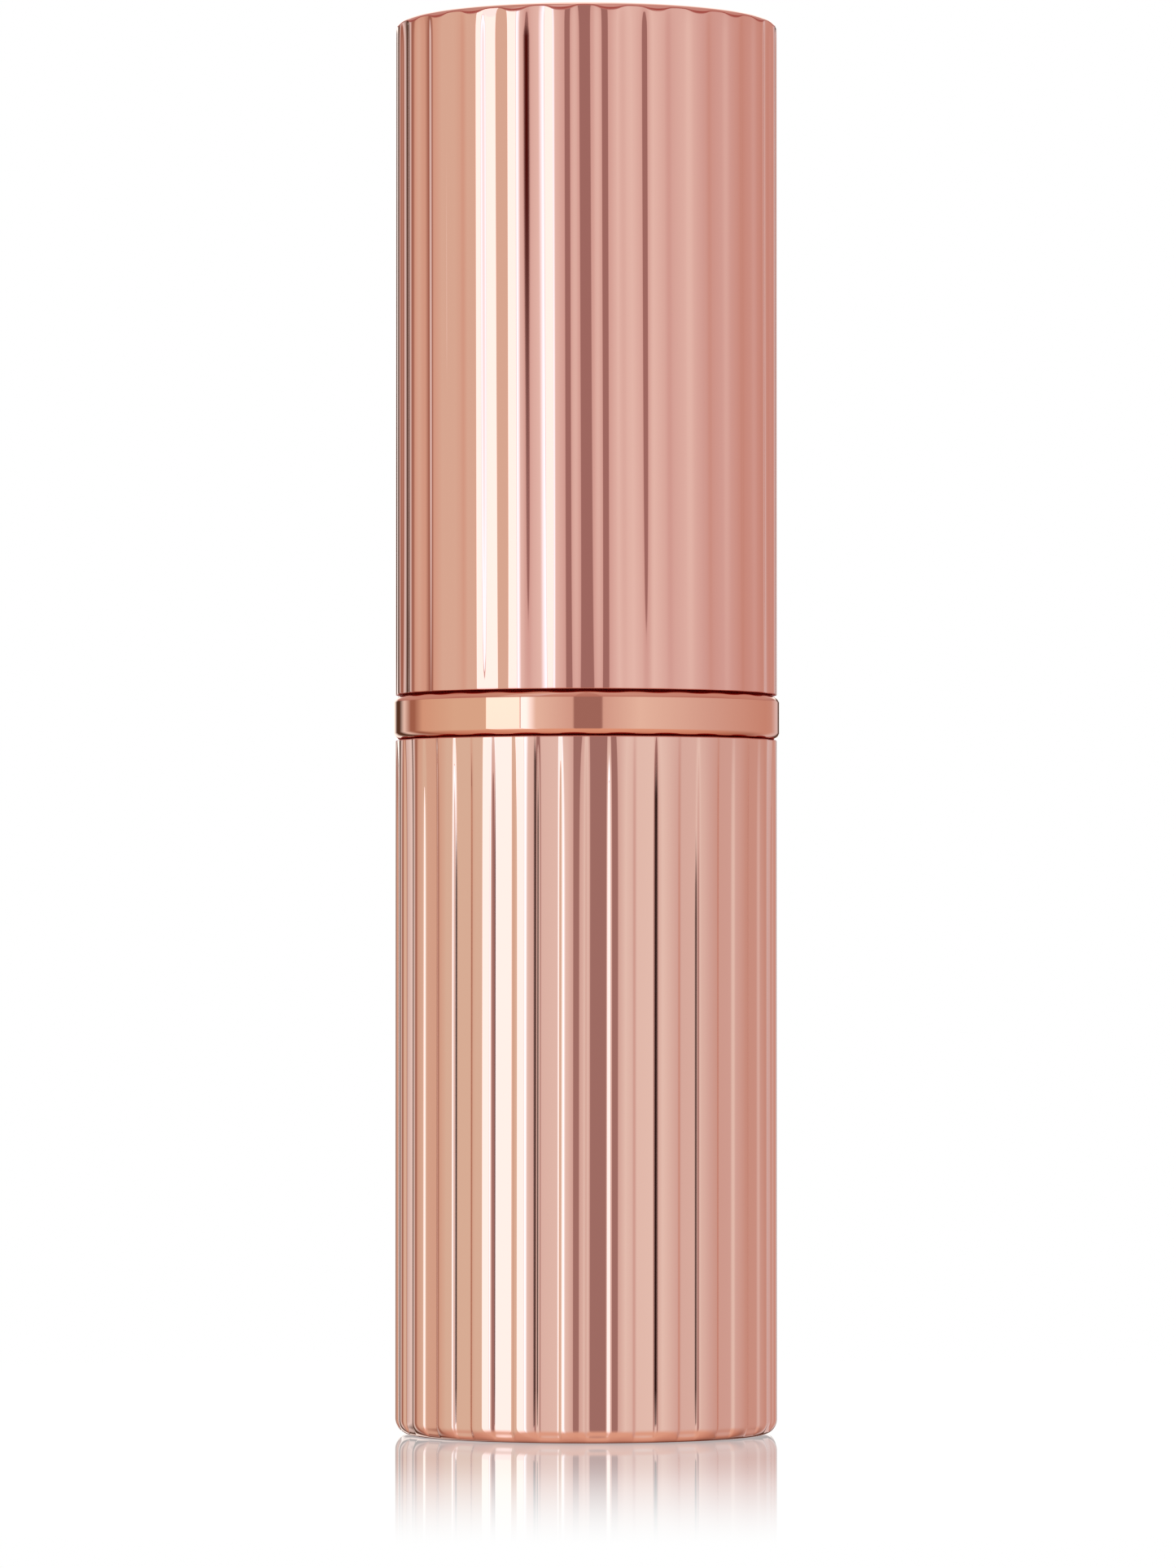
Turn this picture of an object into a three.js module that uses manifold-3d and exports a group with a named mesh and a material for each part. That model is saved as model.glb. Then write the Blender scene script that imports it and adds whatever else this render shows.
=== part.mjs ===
// A twist-up lipstick case, closed and standing upright.
//
// Frame: millimetres, +Z up, origin at the centre of the foot.
// The fluted base stays put. The sleeve (bright tube, cam and collar ring) turns in it, and
// the two helical grooves in the cam lift the carrier, whose lugs also run in the straight
// slots of the inner body. The cap slides up off the sleeve.

import * as THREE from "three";
import { mergeVertices } from "three/addons/utils/BufferGeometryUtils.js";
import Module from "manifold-3d";

const wasm = await Module();
wasm.setup();

// ---- Driving dimensions -----------------------------------------------------------------

// The outside
const CASE_HEIGHT = 77.5;
const CREST_RADIUS = 10.5; // over the ribs of the flutes
const FLUTE_COUNT = 25;
const FLUTE_DEPTH = 0.18;
const BASE_RIB_TURN = THREE.MathUtils.degToRad(-90 - 3.9); // where one rib of the base faces
const CAP_RIB_TURN = THREE.MathUtils.degToRad(-90 - 7.2); // where one rib of the cap faces
const BASE_TOP = 38.0;
const FOOT_FILLET = 1.0;
const SHOULDER_FILLET = 0.7;
const RIM_FILLET = 0.2;

// The collar ring between base and cap
const COLLAR_RADIUS = 10.6;
const COLLAR_BOTTOM = 38.12;
const COLLAR_TOP = 40.42;
const COLLAR_WALL = 0.4;
const COLLAR_FILLET = 0.3;
const CAP_BOTTOM = 40.5;

// Walls and clearances
const SHELL_BORE = 9.75; // inner radius of the two fluted shells
const SHELL_FLOOR = 0.9;
const CAP_ROOF = 0.65;
const FIT = 0.05; // gap between coaxial pieces that are pressed or glued together

// The sleeve and its cam
const SLEEVE_RADIUS = 9.0;
const SLEEVE_WALL = 0.3;
const SLEEVE_BOTTOM = 22.0;
const SLEEVE_TOP = 56.0;
const SLEEVE_LIP_RADIUS = 7.0;
const CAM_BORE = 7.75;
const CAM_BOTTOM = 18.3;
const CAM_TOP = 54.6;
const GROOVE_RADIUS = 8.3; // to the bottom of the helical grooves
const GROOVE_HEIGHT = 2.3; // measured along the axis

// The inner body
const TUBE_RADIUS = 7.65;
const TUBE_BORE = 6.85;
const TUBE_FOOT_RADIUS = 8.6;
const TUBE_BOTTOM = 8.3;
const TUBE_SHOULDER = 18.0;
const TUBE_TOP = 55.3;
const SLOT_WIDTH = 2.1;
const SLOT_BOTTOM = 23.9;
const SLOT_TOP = 46.4;
const BRAKE_HEIGHT = 21.0;
const BRAKE_SECTION = 0.4;

// The carrier and its travel
const CUP_RADIUS = 6.75;
const CUP_BORE = 6.1;
const CUP_BOTTOM = 23.4;
const CUP_TOP = 34.4;
const LUG_RADIUS = 0.85;
const LUG_REACH = 8.1; // from the axis to the end of a lug
const LUG_HEIGHT = 25.0; // at the low end of the travel
const LIFT = 20.3;
const TWIST = 3 * Math.PI; // one and a half turns of the sleeve for the whole lift
const BULLET_TOP = 55.4;

// Facets
const SIDES = 48; // round an ordinary turned piece
const COLLAR_SIDES = 72;
const SIDES_PER_FLUTE = 4;
const FILLET_STEPS = 3;
const WELD = 1e-4;

// ---- Solids -----------------------------------------------------------------------------

// A closed geometry as a solid: shared corners are merged, and facets that have collapsed
// onto the axis are dropped.
function solid(geometry) {
  const bare = new THREE.BufferGeometry();
  bare.setAttribute("position", geometry.getAttribute("position"));
  bare.setIndex(geometry.getIndex());
  const merged = mergeVertices(bare, WELD);
  const corners = Array.from(merged.getIndex().array);
  const facets = [];
  for (let i = 0; i < corners.length; i += 3) {
    const facet = corners.slice(i, i + 3);
    if (new Set(facet).size === 3) {
      facets.push(...facet);
    }
  }
  const mesh = new wasm.Mesh({
    numProp: 3,
    vertProperties: merged.getAttribute("position").array,
    triVerts: new Uint32Array(facets),
  });
  return new wasm.Manifold(mesh);
}

// A solid back as a three.js mesh, flat shaded.
function part(name, made, material) {
  const { vertProperties, triVerts, numProp } = made.getMesh();
  const geometry = new THREE.BufferGeometry();
  const points = new THREE.InterleavedBuffer(vertProperties, numProp);
  geometry.setAttribute("position", new THREE.InterleavedBufferAttribute(points, 3, 0));
  geometry.setIndex(new THREE.BufferAttribute(triVerts, 1));
  const flat = geometry.toNonIndexed();
  flat.computeVertexNormals();
  const mesh = new THREE.Mesh(flat, material);
  mesh.name = name;
  return mesh;
}

// An outline of [radius, height] corners, listed anticlockwise, as a geometry turned about Z.
function turnedGeometry(outline, sides) {
  const profile = outline.map(([radius, height]) => new THREE.Vector2(radius, height));
  profile.push(profile[0].clone());
  return new THREE.LatheGeometry(profile, sides).rotateX(Math.PI / 2);
}

function turned(outline, sides = SIDES) {
  return solid(turnedGeometry(outline, sides));
}

// A plain turned tube or disc between two radii and two heights.
function hoop(inner, outer, bottom, top, sides = SIDES) {
  return turned([[inner, bottom], [outer, bottom], [outer, top], [inner, top]], sides);
}

// The corners of a quarter-round edge about a centre, from one angle to another in degrees.
function quarterRound(centreRadius, centreHeight, size, from, to) {
  const corners = [];
  for (let step = 0; step <= FILLET_STEPS; step++) {
    const angle = THREE.MathUtils.degToRad(from + ((to - from) * step) / FILLET_STEPS);
    corners.push([centreRadius + size * Math.cos(angle), centreHeight + size * Math.sin(angle)]);
  }
  return corners;
}

// A turned outline whose outside is fluted: ribs stand at the crest radius, and between them
// no point stands further out than the channel floor.
function fluted(outline, ribTurn) {
  const sides = FLUTE_COUNT * SIDES_PER_FLUTE;
  const geometry = turnedGeometry(outline, sides);
  geometry.rotateZ(ribTurn + Math.PI / 2 - Math.PI / sides);
  const points = geometry.getAttribute("position");
  for (let i = 0; i < points.count; i++) {
    const radius = Math.hypot(points.getX(i), points.getY(i));
    const turn = Math.atan2(points.getY(i), points.getX(i)) - ribTurn;
    const onRib = Math.cos(turn * FLUTE_COUNT) > 0;
    const limit = onRib ? CREST_RADIUS : CREST_RADIUS - FLUTE_DEPTH;
    const shrink = radius > limit ? limit / radius : 1;
    points.setXYZ(i, points.getX(i) * shrink, points.getY(i) * shrink, points.getZ(i));
  }
  return solid(geometry);
}

// A box between two corners.
function block(low, high) {
  const size = high.map((value, axis) => value - low[axis]);
  const middle = high.map((value, axis) => (value + low[axis]) / 2);
  return solid(new THREE.BoxGeometry(...size).translate(...middle));
}

// Evenly spaced copies of a box-shaped rib that stands between two radii, joined into one.
function ribs(count, inner, outer, width, bottom, top) {
  const all = [];
  for (let i = 0; i < count; i++) {
    const rib = new THREE.BoxGeometry(outer - inner, width, top - bottom);
    rib.translate((outer + inner) / 2, 0, (top + bottom) / 2);
    rib.rotateZ(((i + 0.5) * 2 * Math.PI) / count);
    all.push(solid(rib));
  }
  return all.reduce((joined, rib) => joined.add(rib));
}

// ---- Base -------------------------------------------------------------------------------

const LABEL_RECESS_RADIUS = 7.6;
const LABEL_RECESS_DEPTH = 0.25;
const WEIGHT_RADIUS = 8.9;
const WEIGHT_POCKET_TOP = 7.2;
const LINER_WEB_TOP = 8.2;
const LINER_SOCKET_TOP = 18.2;
const LINER_TOP = 37.6;
const LINER_UPPER_BORE = SLEEVE_RADIUS + 0.1;

// The fluted outer shell of the base: a drawn cup with a closed foot and a label recess.
function baseShell() {
  const outside = fluted(
    [
      [0, 0],
      ...quarterRound(CREST_RADIUS - FOOT_FILLET, FOOT_FILLET, FOOT_FILLET, -90, 0),
      ...quarterRound(CREST_RADIUS - RIM_FILLET, BASE_TOP - RIM_FILLET, RIM_FILLET, 0, 90),
      [0, BASE_TOP],
    ],
    BASE_RIB_TURN,
  );
  const bore = turned([
    [0, SHELL_FLOOR],
    [SHELL_BORE, SHELL_FLOOR],
    [SHELL_BORE, BASE_TOP + 1],
    [0, BASE_TOP + 1],
  ]);
  const recess = turned([
    [0, -1],
    [LABEL_RECESS_RADIUS, -1],
    [LABEL_RECESS_RADIUS, LABEL_RECESS_DEPTH],
    [0, LABEL_RECESS_DEPTH],
  ]);
  return outside.subtract(bore).subtract(recess);
}

// The round shade label in the foot, left blank.
function baseLabel() {
  const radius = LABEL_RECESS_RADIUS - 0.15;
  return turned([[0, 0.05], [radius, 0.05], [radius, 0.2], [0, 0.2]]);
}

// A steel slug that gives the case its heft and keeps it standing.
function baseWeight() {
  const bottom = SHELL_FLOOR + 3 * FIT;
  const top = WEIGHT_POCKET_TOP - 0.1;
  const edge = 0.4;
  return turned([
    [0, bottom],
    [WEIGHT_RADIUS, bottom],
    [WEIGHT_RADIUS, top - edge],
    [WEIGHT_RADIUS - edge, top],
    [0, top],
  ]);
}

// The moulded liner that fills the base shell: a pocket for the weight, a web, a socket for
// the inner body's foot, and a wider bore in which the sleeve turns.
function baseLiner() {
  const outer = SHELL_BORE - FIT;
  const pocket = WEIGHT_RADIUS + 0.1;
  const socket = TUBE_FOOT_RADIUS + 0.25;
  const webHole = 2;
  return turned([
    [pocket, SHELL_FLOOR + 0.1],
    [outer, SHELL_FLOOR + 0.1],
    [outer, LINER_TOP],
    [LINER_UPPER_BORE, LINER_TOP],
    [LINER_UPPER_BORE, LINER_SOCKET_TOP],
    [socket, LINER_SOCKET_TOP],
    [socket, LINER_WEB_TOP],
    [webHole, LINER_WEB_TOP],
    [webHole, WEIGHT_POCKET_TOP],
    [pocket, WEIGHT_POCKET_TOP],
  ]);
}

// The inner body: a foot with crush ribs that is pressed into the liner, and a tall tube with
// two straight slots, a groove for the brake ring and a snap bead that holds the cam down.
function slottedTube() {
  const floorTop = TUBE_BOTTOM + 0.8;
  const ventRadius = 1.2;
  const beadRadius = TUBE_RADIUS + 0.45;
  const beadBottom = CAM_TOP + 0.15;
  const grooveRadius = TUBE_RADIUS - 0.35;
  const grooveHalf = BRAKE_SECTION / 2 + 0.1;
  const body = turned([
    [ventRadius, TUBE_BOTTOM],
    [TUBE_FOOT_RADIUS, TUBE_BOTTOM],
    [TUBE_FOOT_RADIUS, TUBE_SHOULDER],
    [TUBE_RADIUS, TUBE_SHOULDER],
    [TUBE_RADIUS, BRAKE_HEIGHT - grooveHalf],
    [grooveRadius, BRAKE_HEIGHT - grooveHalf],
    [grooveRadius, BRAKE_HEIGHT + grooveHalf],
    [TUBE_RADIUS, BRAKE_HEIGHT + grooveHalf],
    [TUBE_RADIUS, beadBottom],
    [beadRadius, beadBottom],
    [TUBE_RADIUS, TUBE_TOP],
    [TUBE_BORE, TUBE_TOP],
    [TUBE_BORE, floorTop],
    [ventRadius, floorTop],
  ]);
  const reach = TUBE_RADIUS + 1;
  const slots = block([-reach, -SLOT_WIDTH / 2, SLOT_BOTTOM], [reach, SLOT_WIDTH / 2, SLOT_TOP]);
  const crushRibs = ribs(
    8, TUBE_FOOT_RADIUS - 0.3, TUBE_FOOT_RADIUS + 0.2, 0.5, TUBE_BOTTOM + 0.7, TUBE_SHOULDER - 0.5,
  );
  return body.subtract(slots).add(crushRibs);
}

// The silicone ring that gives the twist its smooth drag.
function brakeRing() {
  const middle = TUBE_RADIUS - 0.13;
  const ring = new THREE.TorusGeometry(middle, BRAKE_SECTION / 2, 6, SIDES);
  return solid(ring.translate(0, 0, BRAKE_HEIGHT));
}

// ---- Sleeve -----------------------------------------------------------------------------

// A bar bent into a helix about Z, which cuts one groove of the cam. Turn 0 is where the lug
// stands at the low end of its travel; the bar runs a little past both ends.
function grooveBar(startAngle) {
  const steps = 40;
  const overrun = 0.18;
  const span = TWIST + 2 * overrun;
  const innerRadius = CAM_BORE - 0.4;
  const bar = new THREE.BoxGeometry(span, GROOVE_RADIUS - innerRadius, GROOVE_HEIGHT, steps, 1, 1);
  const points = bar.getAttribute("position");
  for (let i = 0; i < points.count; i++) {
    const turn = points.getX(i) + span / 2 - overrun;
    const radius = (GROOVE_RADIUS + innerRadius) / 2 - points.getY(i);
    const height = LUG_HEIGHT + (LIFT * turn) / TWIST + points.getZ(i);
    const angle = startAngle + turn;
    points.setXYZ(i, radius * Math.cos(angle), radius * Math.sin(angle), height);
  }
  return solid(bar);
}

// The cam: a plastic tube with two right-handed helical grooves half a turn apart.
function camSleeve() {
  const outer = SLEEVE_RADIUS - SLEEVE_WALL - FIT;
  return hoop(CAM_BORE, outer, CAM_BOTTOM, CAM_TOP)
    .subtract(grooveBar(0))
    .subtract(grooveBar(Math.PI));
}

// The bright metal tube over the cam, its top edge turned in round the mouth.
function sleeveTube() {
  const inner = SLEEVE_RADIUS - SLEEVE_WALL;
  const lipBottom = SLEEVE_TOP - 0.35;
  return turned([
    [inner, SLEEVE_BOTTOM],
    [SLEEVE_RADIUS, SLEEVE_BOTTOM],
    ...quarterRound(SLEEVE_RADIUS - RIM_FILLET, SLEEVE_TOP - RIM_FILLET, RIM_FILLET, 0, 90),
    [SLEEVE_LIP_RADIUS, SLEEVE_TOP],
    [SLEEVE_LIP_RADIUS, lipBottom],
    [inner, lipBottom],
  ]);
}

// The smooth ring between base and cap, with a flange turned in on top.
function collarRing() {
  const outerEdge = COLLAR_RADIUS - COLLAR_FILLET;
  const inner = COLLAR_RADIUS - COLLAR_WALL;
  const flangeBottom = COLLAR_TOP - COLLAR_WALL;
  const flangeBore = SLEEVE_RADIUS + FIT;
  return turned(
    [
      [inner, COLLAR_BOTTOM],
      ...quarterRound(outerEdge, COLLAR_BOTTOM + COLLAR_FILLET, COLLAR_FILLET, -90, 0),
      ...quarterRound(outerEdge, COLLAR_TOP - COLLAR_FILLET, COLLAR_FILLET, 0, 90),
      [flangeBore, COLLAR_TOP],
      [flangeBore, flangeBottom],
      [inner, flangeBottom],
    ],
    COLLAR_SIDES,
  );
}

// The plastic core that fills the ring and is glued to the sleeve.
function collarCore() {
  const outer = COLLAR_RADIUS - COLLAR_WALL - FIT;
  return hoop(SLEEVE_RADIUS + FIT, outer, COLLAR_BOTTOM + 0.18, COLLAR_TOP - COLLAR_WALL - FIT);
}

// ---- Carrier ----------------------------------------------------------------------------

// The cup that holds the bullet, with the two lugs moulded on its foot.
function carrierCup() {
  const floorTop = CUP_BOTTOM + 0.8;
  const ventRadius = 1;
  const cup = turned([
    [ventRadius, CUP_BOTTOM],
    [CUP_RADIUS, CUP_BOTTOM],
    [CUP_RADIUS, CUP_TOP],
    [CUP_BORE, CUP_TOP],
    [CUP_BORE, floorTop],
    [ventRadius, floorTop],
  ]);
  const rootReach = CUP_BORE + 0.3;
  const length = LUG_REACH - rootReach;
  let made = cup;
  for (const side of [-1, 1]) {
    const lug = new THREE.CylinderGeometry(LUG_RADIUS, LUG_RADIUS, length, 16);
    lug.rotateZ(Math.PI / 2);
    lug.translate(side * (rootReach + length / 2), 0, LUG_HEIGHT);
    made = made.add(solid(lug));
  }
  return made;
}

// The stick of colour, its end cut on a slant.
function lipstickBullet() {
  const radius = CUP_BORE - FIT;
  const bottom = CUP_BOTTOM + 0.9;
  const crown = 1.2;
  const stick = turned([
    [0, bottom],
    ...quarterRound(radius - RIM_FILLET, bottom + RIM_FILLET, RIM_FILLET, -90, 0),
    ...quarterRound(radius - crown, BULLET_TOP - crown, crown, 0, 90),
    [0, BULLET_TOP],
  ]);
  const slant = THREE.MathUtils.degToRad(48);
  const size = 40;
  const highSide = -3.4; // where the slanted face leaves the top
  const wedge = new THREE.BoxGeometry(size, size, size);
  wedge.translate(0, 0, size / 2);
  wedge.rotateY(slant);
  wedge.translate(highSide, 0, BULLET_TOP);
  return stick.subtract(solid(wedge));
}

// ---- Cap --------------------------------------------------------------------------------

// The fluted outer shell of the cap, closed and flat on top.
function capShell() {
  const edge = CREST_RADIUS - SHOULDER_FILLET;
  const rim = CREST_RADIUS - RIM_FILLET;
  const outside = fluted(
    [
      [0, CAP_BOTTOM],
      ...quarterRound(rim, CAP_BOTTOM + RIM_FILLET, RIM_FILLET, -90, 0),
      ...quarterRound(edge, CASE_HEIGHT - SHOULDER_FILLET, SHOULDER_FILLET, 0, 90),
      [0, CASE_HEIGHT],
    ],
    CAP_RIB_TURN,
  );
  const bore = turned([
    [0, CAP_BOTTOM - 1],
    [SHELL_BORE, CAP_BOTTOM - 1],
    [SHELL_BORE, CASE_HEIGHT - CAP_ROOF],
    [0, CASE_HEIGHT - CAP_ROOF],
  ]);
  return outside.subtract(bore);
}

// The plastic liner of the cap; its six low ribs grip the sleeve.
function capLiner() {
  const outer = SHELL_BORE - FIT;
  const inner = 9.3;
  const bottom = CAP_BOTTOM + 0.5;
  const top = CASE_HEIGHT - CAP_ROOF - FIT;
  const roof = 0.6;
  const lead = 0.3; // the chamfer that guides the sleeve in
  const cup = turned([
    [outer, bottom],
    [outer, top],
    [0, top],
    [0, top - roof],
    [inner, top - roof],
    [inner, bottom + lead],
    [inner + lead, bottom],
  ]);
  const grip = ribs(6, SLEEVE_RADIUS + 0.08, outer - 0.1, 0.6, bottom + 1, SLEEVE_TOP - 1);
  return cup.add(grip);
}

// ---- Assembly ---------------------------------------------------------------------------

function finish(colour, roughness, metalness) {
  return new THREE.MeshStandardMaterial({ color: colour, roughness, metalness });
}

const roseGold = finish(0xd79b82, 0.12, 1);
const brightTube = finish(0xdba58d, 0.15, 1);
const steel = finish(0x9a9a9c, 0.35, 1);
const whitePlastic = finish(0xeeebe4, 0.4, 0);
const slipPlastic = finish(0xe4e2dc, 0.5, 0);
const silicone = finish(0xc9c6c0, 0.7, 0);
const wax = finish(0xb4545a, 0.45, 0);
const paper = finish(0xf3f1ec, 0.8, 0);

function assembly(...parts) {
  const group = new THREE.Group();
  group.add(...parts);
  return group;
}

const base = assembly(
  part("base_shell", baseShell(), roseGold),
  part("base_label", baseLabel(), paper),
  part("base_weight", baseWeight(), steel),
  part("base_liner", baseLiner(), whitePlastic),
  part("slotted_tube", slottedTube(), slipPlastic),
  part("brake_ring", brakeRing(), silicone),
);

const sleeve = assembly(
  part("sleeve_tube", sleeveTube(), brightTube),
  part("cam_sleeve", camSleeve(), slipPlastic),
  part("collar_ring", collarRing(), roseGold),
  part("collar_core", collarCore(), whitePlastic),
);

const carrier = assembly(
  part("carrier_cup", carrierCup(), whitePlastic),
  part("lipstick_bullet", lipstickBullet(), wax),
);

const cap = assembly(
  part("cap_shell", capShell(), roseGold),
  part("cap_liner", capLiner(), whitePlastic),
);

export default assembly(base, sleeve, carrier, cap);
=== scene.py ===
# %% [markdown]
# # A fluted, rose-gold lipstick case
# The case is a polished metal cap, a smooth ring and a polished metal base, with a twist-up
# mechanism inside. The CAD model already fixes every size, place and joint. This lesson makes
# the fine surfaces around it: the flutes, the rounded edges, the wax, and what each is made of.
# A mirror-like metal has almost no look of its own. What is seen is the studio, bent by the
# flutes, so the flutes and the studio lights are the two things worked out with most care.

import math

import bpy
import numpy as np
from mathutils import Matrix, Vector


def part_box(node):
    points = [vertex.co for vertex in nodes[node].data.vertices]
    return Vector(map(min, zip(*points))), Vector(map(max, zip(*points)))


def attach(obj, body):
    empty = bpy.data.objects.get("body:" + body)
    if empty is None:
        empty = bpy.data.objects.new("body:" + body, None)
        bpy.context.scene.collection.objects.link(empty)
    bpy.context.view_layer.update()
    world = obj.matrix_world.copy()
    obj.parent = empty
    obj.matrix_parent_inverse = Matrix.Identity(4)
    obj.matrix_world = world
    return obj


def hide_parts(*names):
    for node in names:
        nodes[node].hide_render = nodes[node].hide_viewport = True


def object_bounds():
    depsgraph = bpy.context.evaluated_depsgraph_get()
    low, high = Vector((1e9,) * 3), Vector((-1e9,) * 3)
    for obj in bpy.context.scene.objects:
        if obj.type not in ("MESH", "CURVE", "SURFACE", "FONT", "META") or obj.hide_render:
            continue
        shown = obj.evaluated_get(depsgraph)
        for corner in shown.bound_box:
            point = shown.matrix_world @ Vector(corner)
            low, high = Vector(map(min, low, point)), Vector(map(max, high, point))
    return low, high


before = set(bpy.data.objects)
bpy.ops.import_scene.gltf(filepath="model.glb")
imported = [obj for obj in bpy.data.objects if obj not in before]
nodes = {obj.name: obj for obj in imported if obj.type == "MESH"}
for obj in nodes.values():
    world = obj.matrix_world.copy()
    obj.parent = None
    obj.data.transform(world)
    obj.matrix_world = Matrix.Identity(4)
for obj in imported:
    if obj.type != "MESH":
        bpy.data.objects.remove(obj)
CAD_LOW, CAD_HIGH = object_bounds()
MM = 0.001
print("CAD box, mm:", [round(v / MM, 2) for v in (*CAD_LOW, *CAD_HIGH)])

# %% [markdown]
# ## Reading sizes off the CAD
# Nearly every piece is turned about the Z axis, so two questions are enough: how far out does
# a node reach, and between which heights does it stand. Both come from the node itself, so a
# fine piece follows its CAD node when that changes.


# %% Sizes of the CAD nodes
def radii(node):
    """Distances of a node's corners from the Z axis, sorted, in metres."""
    flat = np.empty(len(nodes[node].data.vertices) * 3)
    nodes[node].data.vertices.foreach_get("co", flat)
    points = flat.reshape(-1, 3)
    return np.sort(np.hypot(points[:, 0], points[:, 1]))


def reach(node):
    """How far a node reaches from the Z axis."""
    return float(radii(node)[-1])


def bore(node):
    """The radius of the hole down the middle of a node."""
    return float(radii(node)[0])


def heights(node):
    """The lowest and highest Z of a node."""
    low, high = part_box(node)
    return low.z, high.z


BASE_BOTTOM, BASE_TOP = heights("base_shell")
CAP_BOTTOM, CAP_TOP = heights("cap_shell")
RING_BOTTOM, RING_TOP = heights("collar_ring")
CREST = reach("base_shell")
print(f"base {BASE_TOP / MM:.2f} mm, cap from {CAP_BOTTOM / MM:.2f} to {CAP_TOP / MM:.2f} mm")

# %% [markdown]
# ## A surface from a grid of points
# A turned piece is a profile carried round the axis: rows follow the profile, columns go round.
# numpy works out all points at once, and one function turns any such grid into a mesh. The
# columns always join up. The rows may join up too, for a tube or ring, or end on the axis,
# where a row shrinks to one shared point.


# %% From grid to mesh
def skin(name, points, closed_rows=False, attributes=None):
    """Makes a mesh object from points[row, column, xyz]. Columns wrap round. A first or last row
    whose points coincide becomes a single pole; with closed_rows the last row meets the first."""
    rows, columns, _ = points.shape
    first_pole = not closed_rows and np.ptp(points[0], axis=0).max() < 1e-9
    last_pole = not closed_rows and np.ptp(points[-1], axis=0).max() < 1e-9
    start, stop = int(first_pole), rows - int(last_pole)
    body = np.arange((stop - start) * columns).reshape(-1, columns)
    below = body if closed_rows else body[:-1]
    above = np.roll(body, -1, axis=0) if closed_rows else body[1:]
    below_next, above_next = np.roll(below, -1, axis=1), np.roll(above, -1, axis=1)
    quads = np.stack([below, below_next, above_next, above], axis=-1).reshape(-1, 4)
    coordinates = points[start:stop].reshape(-1, 3)
    faces = quads.tolist()
    kept = [slice(start * columns, stop * columns)]
    if first_pole:
        pole = len(coordinates)
        coordinates = np.vstack([coordinates, points[0, :1]])
        faces += np.stack([np.roll(body[0], -1), body[0], np.full(columns, pole)], -1).tolist()
        kept.append(slice(0, 1))
    if last_pole:
        pole = len(coordinates)
        coordinates = np.vstack([coordinates, points[-1, :1]])
        faces += np.stack([body[-1], np.roll(body[-1], -1), np.full(columns, pole)], -1).tolist()
        kept.append(slice((rows - 1) * columns, (rows - 1) * columns + 1))
    mesh = bpy.data.meshes.new(name)
    mesh.from_pydata(coordinates, [], faces)
    mesh.shade_smooth()
    for label, values in (attributes or {}).items():
        flat = values.reshape(-1)
        layer = mesh.attributes.new(label, "FLOAT", "POINT")
        layer.data.foreach_set("value", np.concatenate([flat[part] for part in kept]))
    piece = bpy.data.objects.new(name, mesh)
    bpy.context.scene.collection.objects.link(piece)
    print(f"{name}: {len(mesh.vertices)} points, {len(mesh.polygons)} faces")
    return piece


# %% Profiles: straight runs and round corners
def run(start, end, steps):
    """Evenly spaced [radius, height] points from start up to, not including, end."""
    share = np.linspace(0, 1, steps, endpoint=False)[:, None]
    return np.array(start) * (1 - share) + np.array(end) * share


def arc(centre, size, begin, finish, steps=8):
    """Points at equal angles on a quarter or other part of a circle, both ends included. size is
    one radius, or two for an oval: along the radius and along the height. Angles in degrees."""
    across, along = (size, size) if np.isscalar(size) else size
    angle = np.radians(np.linspace(begin, finish, steps + 1))
    return np.array(centre) + np.stack([across * np.cos(angle), along * np.sin(angle)], -1)


def placed(radius, turn, height):
    """Points from radius, turn and height: x = r cos a, y = r sin a."""
    x, y = radius * np.cos(turn), radius * np.sin(turn)
    return np.stack([x, y, np.broadcast_to(height, x.shape)], -1)


def turns(columns):
    """Equal turns all the way round, as one row."""
    return np.linspace(0, 2 * np.pi, columns, endpoint=False)[None, :]


def around(profile, columns=144):
    """Carries a profile of [radius, height] points round the axis."""
    return placed(profile[:, :1], turns(columns), profile[:, 1:])


# %% [markdown]
# ## The flutes
# On the real case the metal is pressed in between narrow ribs, 25 of them round the case. A rib
# has a crowned top, then a quick fall, then a channel with an almost flat floor. The fall is
# what makes the thin bright and dark lines. The tool presses less near the ends, so the flutes
# fade out softly towards the joint with the ring, and on the cap they are softer all along.
# Modelling this as bump would lose it on the outline and in the exported mesh, so the radius
# itself is a formula of turn and height.

# %% The shape of one flute
FLUTES = 25
PITCH = 2 * np.pi / FLUTES
# A rib and the fall beside it are given as shares of half a flute.
BASE_RIB = 0.55
BASE_FALL = 0.1
BASE_DEPTH = 0.2 * MM
BASE_WAVE = 0.05 * MM
CAP_RIB = 0.5
CAP_FALL = 0.2
CAP_DEPTH = 0.15 * MM
CAP_WAVE = 0.2 * MM
CAP_END_WAVE = 0.09 * MM
CAP_PRESSED = 0.6


def smooth_step(value):
    """0 below 0, 1 above 1, and 3v^2 - 2v^3 between them."""
    held = np.clip(value, 0, 1)
    return held * held * (3 - 2 * held)


def pressed(across, rib_share, fall, depth, crown, floor_dish):
    """Height of a pressed flute. across is 0 on the rib's middle and 1 on the channel's. The rib
    is a parabola that loses crown by its edge; the channel is a parabola that rises by
    floor_dish towards the rib; a smooth step as wide as two falls joins them."""
    rib = depth - crown * (across / rib_share) ** 2
    channel = floor_dish * np.clip((1 - across) / (1 - rib_share), 0, None) ** 2
    share = smooth_step((across - rib_share + fall) / (2 * fall))
    return rib * (1 - share) + channel * share


def wave(across, depth):
    """Height of a soft flute: half a cosine from rib to channel."""
    return depth * 0.5 * (1 + np.cos(np.pi * across))


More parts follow.
